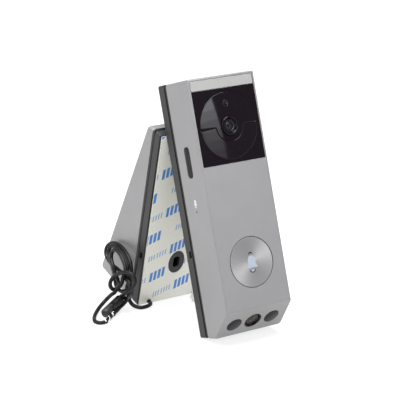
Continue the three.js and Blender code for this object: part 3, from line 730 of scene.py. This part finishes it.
plug_start, plug_end = from_foot(PLUG["from"]), from_foot(PLUG["to"])
PLUG_LENGTH = (plug_end - plug_start).length / MM
plug_turn = (plug_end - plug_start).to_track_quat("Z", "X")
PLUG_FRAME = Matrix.Translation(plug_start) @ plug_turn.to_matrix().to_4x4()


def squarish(name, sections, place, power=3.2, segments=40):
    """A lofted body, its outline between square and round: sections are (height, half width, half depth)."""
    bm = bmesh.new()
    rings = []
    for height, wide, deep in sections:
        ring = []
        for i in range(segments):
            angle = 2 * math.pi * i / segments
            c, s = math.cos(angle), math.sin(angle)
            x = wide * math.copysign(abs(c) ** (2 / power), c)
            y = deep * math.copysign(abs(s) ** (2 / power), s)
            ring.append(bm.verts.new((x * MM, y * MM, height * MM)))
        rings.append(ring)
    for low, high in zip(rings, rings[1:]):
        for i in range(segments):
            j = (i + 1) % segments
            bm.faces.new((low[i], low[j], high[j], high[i]))
    bm.faces.new(rings[0][::-1])
    bm.faces.new(rings[-1])
    return new_object(name, bm, place, sharp=40)


def plug_body():
    """Overmoulded plug: a ribbed strain relief, then a squarish grip."""
    relief, end, half = PLUG["relief"], PLUG["relief"] + PLUG["body"], PLUG["width"] / 2

    def grip(at, inset=0.0):
        """A section of the grip, a little flatter than wide."""
        return at, half - inset, half - inset - 0.2

    sections = [(-0.2, 1.5, 1.5), (0.1, 2.0, 1.9), (relief - 0.5, 2.2, 2.1), (relief - 0.3, 2.0, 1.9)]
    sections += [(relief, 2.0, 1.9), grip(relief + 0.1, 0.2), grip(relief + 0.5)]
    ribs, first_rib, rib_pitch, rib_depth = 5, 2.2, 1.5, 0.15
    for rib in range(ribs):
        at = relief + first_rib + rib * rib_pitch
        sections += [grip(at), grip(at + 0.2, rib_depth), grip(at + 0.6, rib_depth), grip(at + 0.8)]
    sections += [grip(end - 0.5), grip(end, 0.4)]
    return stand_for(squarish("plug_grip", sections, PLUG_FRAME), "plug_body")


def plug_cap():
    """Soft guard over the plug's metal barrel."""
    start, end = PLUG["relief"] + PLUG["body"] + 0.3, PLUG_LENGTH
    half = PLUG["width"] / 2 + 0.15
    sections = [(start, half - 0.3, half - 0.5), (start + 0.4, half, half - 0.2), (end - 1, half, half - 0.2)]
    sections += [(end - 0.4, half - 0.3, half - 0.5), (end, half - 1, half - 1.2)]
    return stand_for(squarish("plug_guard", sections, PLUG_FRAME, power=2.6), "plug_cap", "plug_tip")


# the film round the lower loop, from one of these points beside the cord to the other; millimetres
TIE_ENDS = ((-53, 68, 2.5), (-67.5, 59, 1.5))
TIE_TURNS = 1.3
TIE_OFF_CORD = 0.15
TIE_LOWEST = 0.1


def loft(bm, rows):
    """Faces between rows of vertices, each row a closed ring, and over both ends."""
    for a, b in zip(rows, rows[1:]):
        for i in range(len(a)):
            j = (i + 1) % len(a)
            bm.faces.new((a[i], a[j], b[j], b[i]))
    bm.faces.new(rows[0])
    bm.faces.new(rows[-1][::-1])


def heading(line, i):
    """The direction of a line of points at its point i."""
    return (line[min(i + 1, len(line) - 1)] - line[max(i - 1, 0)]).normalized()


def nearest(spot):
    """The number of the cord's point nearest to one counted from the doorbell's foot."""
    target = from_foot(spot)
    return min(range(len(cord_line)), key=lambda i: (cord_line[i] - target).length)


def cord_tie():
    """Two frayed strips of clear film, wound steeply along the lower loop's right side."""
    start, end = (nearest(spot) for spot in TIE_ENDS)
    line = smooth_line(cord_line[start:end + 1], 5)
    reach = (CORD["diameter"] / 2 + TIE_OFF_CORD) * MM
    bm = bmesh.new()
    for phase in (0, math.pi):
        rows = []
        for i, at in enumerate(line):
            share = i / (len(line) - 1)
            forward = heading(line, i)
            side = forward.cross(Vector((0, 0, 1))).normalized()
            over = side.cross(forward)
            angle = phase + 2 * math.pi * TIE_TURNS * share + 0.5 * math.sin(21 * share)
            # an uneven width, in radians round the cord, and an uneven height over it
            half_width = 0.42 + 0.16 * math.sin(34 * share + phase) + 0.08 * math.sin(81 * share)
            crease = reach + 0.10 * MM * math.sin(57 * share)
            row = []
            for turn, lift in ((-half_width, 0), (0, 0.16), (half_width, 0), (0, -0.06)):
                a = angle + turn
                spot = at + (side * math.cos(a) + over * math.sin(a)) * (crease + lift * MM)
                spot.z = max(spot.z, TIE_LOWEST * MM)
                row.append(bm.verts.new(spot))
            rows.append(row)
        loft(bm, rows)
    return add_to(new_object("tie_film", bm, sharp=60), "release_liner", "liner_paper", TIE)


plug_parts = [plug_body(), plug_cap(), cord_tie()]

# ---------------------------------------------------------------- doorbell

# CAD nodes that keep their shape, with the width of their broken edges in millimetres
for node, bevel in (
    ("front_housing", 0.4), ("trim_band", 0.25), ("front_panel", 0.1), ("back_cover", 0.2),
    ("wall_plate", 0.3), ("port_cover", 0.2), ("ring_light_guide", 0.05),
    ("release_latch", 0.1), ("housing_seal", 0),
):
    refined(node, bevel=bevel)


SIDE_Y = -20.8  # the line that the openings in the doorbell's left side are on


def side_frame(z):
    """A frame on the doorbell's left side, local z pointing out of it, local y up."""
    turn = Matrix(((0, 0, -1, 0), (-1, 0, 0, 0), (0, 1, 0, 0), (0, 0, 0, 1)))
    return BELL_FRAME @ Matrix.Translation(Vector((-BELL["half"], SIDE_Y, z)) * MM) @ turn


GRILLE = {
    "width": 6.6, "bottom": 106.6, "top": 127.4,  # the opening
    "margin": 0.3,  # from the opening's edge to the wires' ends
    "pitch": 1.1, "wire": 0.44, "weave": 0.12, "shortest": 0.6,
    "wires_at": -0.5, "cloth_at": -1.0, "cloth": 0.2,  # below the side's face
}


def speaker_mesh():
    """A fine woven mesh of crossing wires in an oblong opening, over a dark cloth."""
    bm = bmesh.new()
    half_width = GRILLE["width"] / 2 - GRILLE["margin"]
    half_height = (GRILLE["top"] - GRILLE["bottom"]) / 2 - GRILLE["margin"]
    straight = half_height - half_width

    def reach(offset, across):
        """How far a wire at this offset from the middle runs to the opening's rounded edge."""
        if across:
            past = max(0, abs(offset) - straight)
            return math.sqrt(max(0, half_width ** 2 - past ** 2))
        return straight + math.sqrt(max(0, half_width ** 2 - offset ** 2))

    def wires(limit, across):
        """Parallel wires up to `limit` on both sides, each waving over and under the crossing ones."""
        pitch, w = GRILLE["pitch"], GRILLE["wire"] / 2
        count = int(limit / pitch)
        for i in range(-count, count + 1):
            offset = i * pitch
            end = reach(offset, across)
            if end < GRILLE["shortest"]:
                continue
            steps = max(2, int(2 * end / (pitch / 2)))
            rings = []
            for k in range(steps + 1):
                run = -end + 2 * end * k / steps
                wave = math.cos(math.pi * (run / pitch + i)) * (1 if across else -1)
                middle = GRILLE["wires_at"] + GRILLE["weave"] * wave
                ring = []
                for sideways, rise in ((-w, 0), (0, w), (w, 0), (0, -w)):
                    a, b = (run, offset + sideways) if across else (offset + sideways, run)
                    ring.append(bm.verts.new(Vector((a, b, middle + rise)) * MM))
                rings.append(ring)
            loft(bm, rings)

    wires(half_height, True)
    wires(half_width, False)
    cloth = arc(0, straight, half_width, 0, 180) + arc(0, -straight, half_width, 180, 360)
    sheet = bm.faces.new([bm.verts.new(Vector((x, y, GRILLE["cloth_at"])) * MM) for x, y in cloth])
    under = bmesh.ops.extrude_face_region(bm, geom=[sheet])
    spots = [v for v in under["geom"] if isinstance(v, bmesh.types.BMVert)]
    bmesh.ops.translate(bm, verts=spots, vec=(0, 0, -GRILLE["cloth"] * MM))
    return new_object("speaker_mesh", bm, side_frame((GRILLE["top"] + GRILLE["bottom"]) / 2), sharp=50)


# the round field in the front panel: its height up the doorbell, and the parts' radii
DISC = {
    "z": 136.6, "radius": 22, "inner": 10, "ring": 6.2, "lens": 4.3, "sensor": 2.2,
    "sensor_up": 14.6, "crown": 0.9, "proud": 0.05, "thick": 1.0,
}
GAP = 0.3  # between the field's parts
COLUMN_TURN = 2.5  # degrees from one column of the dome's faces to the next


def dome_height(radius):
    """How far the dome stands out of the panel at this distance from its middle."""
    return DISC["proud"] + DISC["crown"] * (1 - (radius / DISC["radius"]) ** 2)


def domed(name, spans, rows=28):
    """Part of the dome round the camera: spans are (inner radius, outer radius, start, end in degrees)."""
    bm = bmesh.new()
    for inner, outer, start, end in spans:
        columns = round((end - start) / COLUMN_TURN)
        grid = []
        for i in range(columns + 1):
            angle = math.radians(start + (end - start) * i / columns)
            line = []
            for j in range(rows + 1):
                r = inner + (outer - inner) * j / rows
                x, y = r * math.cos(angle), r * math.sin(angle)
                line.append(bm.verts.new(Vector((x, y, dome_height(r))) * MM))
            grid.append(line)
        for a, b in zip(grid, grid[1:]):
            for j in range(rows):
                bm.faces.new((a[j], a[j + 1], b[j + 1], b[j]))
    bmesh.ops.remove_doubles(bm, verts=bm.verts, dist=WELD)
    made = new_object(name, bm, on_front(DISC["z"]), sharp=60)
    shell = made.modifiers.new("thickness", "SOLIDIFY")
    shell.thickness = DISC["thick"] * MM
    shell.offset = -1
    return made


r_out, r_ring, r_in = DISC["radius"], DISC["ring"] + GAP, DISC["inner"]
stand_for(domed("camera_dome", [(r_in, r_out, 0, 180), (r_ring, r_in, 0, 360)]), "camera_window")
trim_angle = math.degrees(GAP / r_in)
stand_for(domed("motion_dome", [(r_in + GAP, r_out, 180 + trim_angle, 360 - trim_angle)]), "motion_lens")


def lens_ring():
    """Ring with a rounded outer edge and a stepped inner one."""
    r, lens = DISC["ring"], DISC["lens"]
    return turned("camera_ring", [
        (lens + 0.35, -1), (r, -1), (r, 1.7), (r - 0.12, 1.95), (r - 0.45, 2.2), (r - 0.9, 2.28),
        (lens + 0.9, 2.1), (lens + 0.6, 1.8), (lens + 0.45, 1.1), (lens + 0.35, 1.0), (lens + 0.35, -1),
    ], on_front(DISC["z"]))


def bulge(radius, base, rise, steps=8):
    """The profile of a domed glass, from its edge to its middle."""
    points = []
    for i in range(steps + 1):
        share = i / steps
        points.append((radius * (1 - share), base + rise * math.sin(share * math.pi / 2)))
    return points


def camera_lens():
    """Domed front glass over stepped rings."""
    r = DISC["lens"]
    profile = [(0, -0.8), (r, -0.8), (r, 0.9), (r - 0.15, 1.05), (r - 0.7, 1.05), (r - 0.8, 0.75)]
    profile += [(r - 1.3, 0.7), (r - 1.4, 0.95), (r - 1.9, 1.0), (r - 2.0, 0.7)]
    profile += bulge(radius=2.3, base=0.7, rise=0.75)
    return turned("camera_lens", profile, on_front(DISC["z"]), sharp=25)


def sensor_lens():
    """Small eye with a low rim, level with the dome round it."""
    r = DISC["sensor"]
    rise = dome_height(DISC["sensor_up"]) - DISC["proud"]
    profile = [(0, -0.5), (r, -0.5), (r, rise + 0.2), (r - 0.1, rise + 0.3), (r - 0.45, rise + 0.3)]
    profile += [(r - 0.6, rise + 0.1), (r - 1.0, rise + 0.05), (0, rise + 0.12)]
    return turned("sensor_eye", profile, on_front(DISC["z"] + DISC["sensor_up"]), segments=48)


stand_for(lens_ring(), "lens_ring")
stand_for(camera_lens(), "main_lens")
stand_for(sensor_lens(), "light_sensor_lens")

BUTTON = {"z": 46.5, "radius": 16.45, "dish": 0.28, "icon_down": 0.24}


def call_button():
    """Spun cap on a stem, slightly dished, with a broken edge."""
    r, edge, rings = BUTTON["radius"], 0.25, 24
    profile = [(0, -5.9), (4, -5.9), (4, -2), (r, -2), (r, -edge), (r - 0.08, -0.08), (r - edge, 0)]
    for i in range(1, rings + 1):
        share = 1 - i / rings
        profile.append(((r - edge) * share, -BUTTON["dish"] * (1 - share ** 2)))
    return turned("button_cap", profile, on_front(BUTTON["z"]), segments=128, sharp=20)


ICON_PLACE = on_front(BUTTON["z"], -BELL["depth"] + BUTTON["icon_down"])


def bell_icon():
    """The body and clapper of a bell, let into the cap."""
    side = [(1.2, 4.0), (2.3, 3.1), (2.8, 1.4), (3.0, -1.2), (3.7, -2.7), (4.3, -3.4)]
    body = [(0, 4.3)] + side + [(4.1, -3.8), (-4.1, -3.8)] + [(-x, y) for x, y in reversed(side)]
    return flat_shape("button_icon", [body[::-1], arc(0, -5.0, 1.5, 185, 355)], 0.06, ICON_PLACE)


def bell_icon_slot_shade():
    """Dark sheets at the bell's loop and round its clapper: painted shade in place of the shade inside the
    slots.
    """
    loop = arc(0, 5.0, 1.6, 10, 170) + arc(0, 5.0, 0.9, 170, 10)
    rim = arc(0, -4.9, 2.2, 185, 355) + arc(0, -4.9, 1.6, 355, 185)
    return flat_shape("button_icon_slot_shade", [loop, rim], 0.05, ICON_PLACE)


stand_for(call_button(), "call_button")
# the pictogram takes the faint painted glow
add_to(bell_icon(), "call_button", "lens_glass", ICON)
# painted shade: dark sheets where the icon's slots would only be in shade
add_to(bell_icon_slot_shade(), "call_button", "lens_glass", MATERIALS["smoked_lens"])


FOOT = {"window_x": 14.8, "window_radius": 5.3, "lens_radius": 4.6}


def foot_window(name, x):
    """Flat dark window with a broken edge."""
    r = FOOT["window_radius"]
    profile = [(0, -1.2), (r, -1.2), (r, -0.2), (r - 0.1, -0.06), (r - 0.3, 0), (0, 0.02)]
    return turned(name, profile, on_foot(x), segments=64)


def foot_ring():
    """Rounded rim that falls away inwards, round the foot's camera."""
    profile = [(4.9, -3.9), (6.1, -3.9), (6.1, -0.15), (6.0, 0.05), (5.7, 0.15), (5.4, 0.1), (5.2, -0.2)]
    profile += [(4.9, -0.7), (4.9, -3.9)]
    return turned("foot_ring", profile, on_foot(0))


def foot_lens():
    """Domed glass inside a stepped rim, sunk in its ring."""
    r = FOOT["lens_radius"]
    profile = [(0, -2.9), (r, -2.9), (r, -0.9), (r - 0.3, -0.75), (r - 0.9, -0.75), (r - 1.0, -1.0)]
    profile += [(r - 1.5, -1.05)] + bulge(radius=r - 1.6, base=-1.05, rise=0.85)
    return turned("foot_lens", profile, on_foot(0), segments=64, sharp=25)


def amber_glass():
    """Coated glass with a warm ring round its dark middle."""
    finish = Finish("amber_glass", (0.05, 0.03, 0.02), roughness=0.06, specular_ior_level=0.25)
    share = finish.math("DIVIDE", finish.radius(), FOOT["lens_radius"] * MM)
    finish.paint(finish.ramp(share, [
        (0.1, (0.012, 0.008, 0.007)),
        (0.3, (0.05, 0.03, 0.02)),
        (0.5, (0.06, 0.038, 0.026)),
        (0.62, (0.008, 0.007, 0.007)),
    ]))
    return finish.material


stand_for(foot_window("window_left", -FOOT["window_x"]), "foot_window_left")
stand_for(foot_window("window_right", FOOT["window_x"]), "foot_window_right")
stand_for(foot_ring(), "foot_camera_ring")
eye = stand_for(foot_lens(), "foot_camera_lens")
eye.data.materials[0] = amber_glass()

SIGN = {"z": 90.3, "hole_z": 84.4}


def microphone_icon():
    """The printed sign over the microphone's hole: capsule, cup, stem and foot."""
    capsule = arc(0, 1.4, 0.85, 0, 180) + arc(0, -0.6, 0.85, 180, 360)
    cup = arc(0, -0.4, 1.7, 180, 360) + arc(0, -0.4, 1.25, 360, 180)
    stem = [(-0.22, -2.7), (0.22, -2.7), (0.22, -2.05), (-0.22, -2.05)]
    bar = [(-0.9, -3.1), (0.9, -3.1), (0.9, -2.7), (-0.9, -2.7)]
    return flat_shape("microphone_icon", [capsule, cup, stem, bar], 0.03, side_frame(SIGN["z"]))


def microphone_hole():
    """A dark cup with a thin rim: its near-black is partly the module's own black plastic, partly painted
    shade down the hole.
    """
    profile = [(0, -0.35), (0.55, -0.35), (0.55, 0.02), (0.4, 0.02), (0.4, -0.25), (0, -0.25)]
    return turned("microphone_hole", profile, side_frame(SIGN["hole_z"]), segments=24)


stand_for(speaker_mesh(), "speaker_grille")
add_to(microphone_icon(), "front_housing", "band_paint", PRINT)
# the hole's near-black is partly painted shade
add_to(microphone_hole(), "front_housing", "module_plastic")

# ---------------------------------------------------------------- charging unit

for node, bevel in (
    ("wedge_shell", 0), ("mount_base", 0.3), ("shell_back", 0.1), ("cord_grommet", 0.15),
):
    refined(node, bevel=bevel)
for node in ("solar_glass", "solar_cells", "release_liner"):
    refined(node, UNIT_FRAME)
pad = refined("foam_pad")

# the liner's loose strip, on the ground; millimetres from the doorbell's foot
TAB_LINE = [(16.2, 76.4, 1.2), (13.6, 73.4, 0.7), (10.9, 70.5, 0.35), (7.8, 62.9, 0.3), (5.5, 60.8, 0.5)]
TAB_THICK = 0.12


def peel_tab():
    """A loose strip of the liner, pulled forward for the fingers."""
    line = smooth_line([from_foot(p) for p in TAB_LINE], 6)
    bm = bmesh.new()
    rows = []
    for i, at in enumerate(line):
        across = heading(line, i).cross(Vector((0, 0, 1))).normalized()
        half_width = (1.0 + 0.4 * math.sin(2.4 * i / len(line))) * MM
        corners = []
        for side, lift in ((-1, 0), (1, 0), (1, TAB_THICK), (-1, TAB_THICK)):
            corners.append(bm.verts.new(at + across * side * half_width + Vector((0, 0, lift * MM))))
        rows.append(corners)
    loft(bm, rows)
    return add_to(new_object("peel_tab", bm), "release_liner", "liner_paper", TAB)


peel_tab()

# ---------------------------------------------------------------- floor and light

FLOOR = {"size": 30, "below": 0.0002, "glow": 0.79}  # half its side and its drop in metres
WORLD_LIGHT = 0.40
LIT_POINT = Vector((0, 0, 0.09))

# the graded card that the dome's left side mirrors: rows of soft boxes, brightest at its top
CARD = {
    "rows": 8, "azimuth": 25.4, "top": 28, "drop": 3, "distance": 1.1, "width": 0.135, "height": 0.058,
    "power": 0.38, "fade": 0.72, "color": (0.95, 0.97, 1),
}

# azimuth and elevation in degrees, distance, width and height in metres, power in watts
SOFT_BOXES = {
    "left_box": (-105, 40, 1.2, 1.0, 0.8, 9.0),
    "edge_strip": (-57, 22, 1.2, 0.16, 0.9, 2.8),
    "front_box": (10, 50, 1.3, 0.5, 0.5, 1.6),
    "top_box": (0, 85, 1.3, 1.0, 1.0, 38),
}


def floor():
    """A plain white table, lit a little from within like a light table."""
    bm = bmesh.new()
    size, corners = FLOOR["size"], ((-1, -1), (1, -1), (1, 1), (-1, 1))
    bm.faces.new([bm.verts.new((x * size, y * size, -FLOOR["below"])) for x, y in corners])
    made = new_object("floor", bm)
    finish = Finish("floor", (0.25, 0.25, 0.25), roughness=0.9, specular_ior_level=0.1)
    finish.set("Emission Color", (1, 1, 1, 1))
    finish.set("Emission Strength", FLOOR["glow"])
    finish.mottle(finish.noise(size=60, detail=2), amount=0.01)
    made.data.materials.append(finish.material)


def area_light(name, azimuth, elevation, distance, width, height, power, color=(1, 1, 1)):
    """A soft box that looks at the object. Azimuth 0 is in front of the doorbell, 90 is towards +X."""
    data = bpy.data.lights.new(name, "AREA")
    data.shape = "RECTANGLE"
    data.size, data.size_y = width, height
    data.energy = power
    data.color = color
    made = bpy.data.objects.new(name, data)
    a, e = math.radians(azimuth), math.radians(elevation)
    out = Vector((math.sin(a) * math.cos(e), -math.cos(a) * math.cos(e), math.sin(e)))
    made.location = LIT_POINT + out * distance
    made.rotation_euler = out.to_track_quat("Z", "Y").to_euler()
    bpy.context.scene.collection.objects.link(made)


def world_light(strength):
    """Even white light from all sides."""
    world = bpy.data.worlds.new("studio")
    world.use_nodes = True
    world.node_tree.nodes["Background"].inputs["Color"].default_value = (1, 1, 1, 1)
    world.node_tree.nodes["Background"].inputs["Strength"].default_value = strength
    bpy.context.scene.world = world


floor()
world_light(WORLD_LIGHT)
for row in range(CARD["rows"]):
    area_light(
        f"front_card_{row}",
        CARD["azimuth"],
        CARD["top"] - CARD["drop"] * row,
        CARD["distance"],
        CARD["width"],
        CARD["height"],
        CARD["power"] * CARD["fade"] ** row,
        CARD["color"],
    )
for name, setting in SOFT_BOXES.items():
    area_light(name, *setting)
